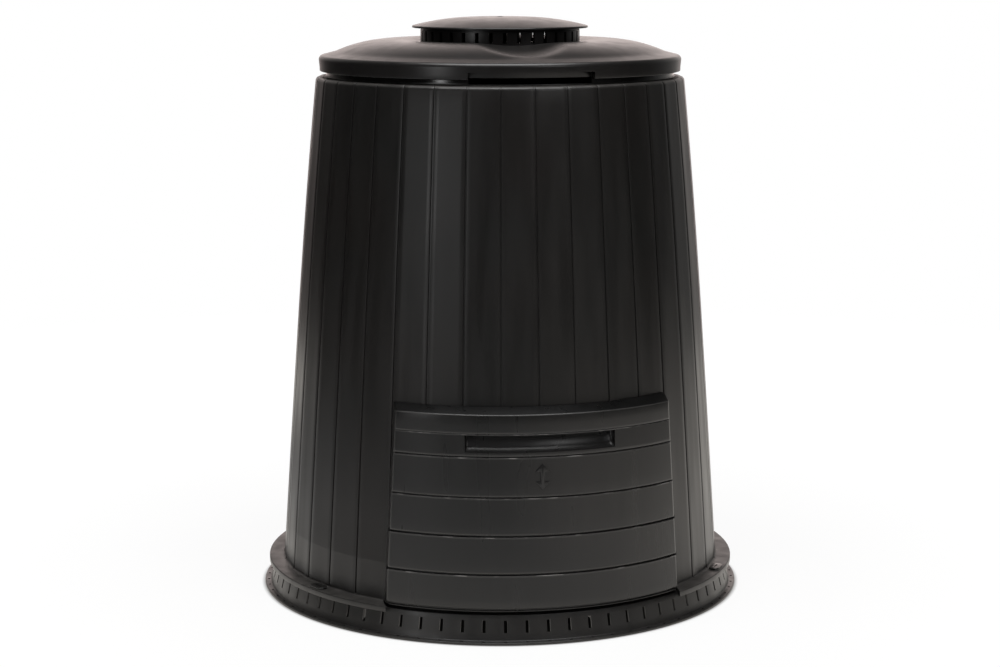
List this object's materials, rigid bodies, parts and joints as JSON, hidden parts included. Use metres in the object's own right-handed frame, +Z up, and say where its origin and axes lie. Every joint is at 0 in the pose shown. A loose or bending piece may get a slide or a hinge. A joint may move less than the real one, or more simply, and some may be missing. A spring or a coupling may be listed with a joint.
{
  "type": "compost bin with lid",
  "caption": "Tapered planked garden compost bin on a slotted base plate, with a lift-off domed lid, a turning vent cap and a louvred loading hatch that slides up.",
  "frame": {"origin": "centre of the base plate's underside, on the ground", "axes": "+Z up along the bin's axis, the loading hatch faces -Y, +X is to the right of the hatch as seen from the front"},
  "size_m": [0.8499, 0.85, 1.0068],
  "materials": {
    "body_black": "satin black moulded polyethylene",
    "hatch_black": "satin black moulded polyethylene, glossy board edges",
    "base_black": "satin black moulded polyethylene",
    "lid_black": "satin black moulded polyethylene",
    "cap_black": "satin black moulded polyethylene",
    "clip_black": "black moulded polypropylene"
  },
  "bodies": {
    "bin": {"base_plate": "base_black", "base_clips": "clip_black", "body_shell": "body_black"},
    "hatch": {"hatch_panel": "hatch_black"},
    "lid": {"lid_shell": "lid_black"},
    "vent": {"vent_cap": "cap_black", "vent_pivot": "clip_black"}
  },
  "joints": [
    {"name": "hatch_slide", "type": "slide", "parent": "bin", "child": "hatch", "axis": [0, 0.0698, 0.9976], "range_m": [0, 0.18]},
    {"name": "lid_lift", "type": "slide", "parent": "bin", "child": "lid", "axis": [0, 0, 1], "range_m": [0, 0.25]},
    {"name": "vent_turn", "type": "hinge", "parent": "lid", "child": "vent", "pos_m": [0, 0, 0.965], "axis": [0, 0, 1], "range_deg": [0, 5]}
  ]
}
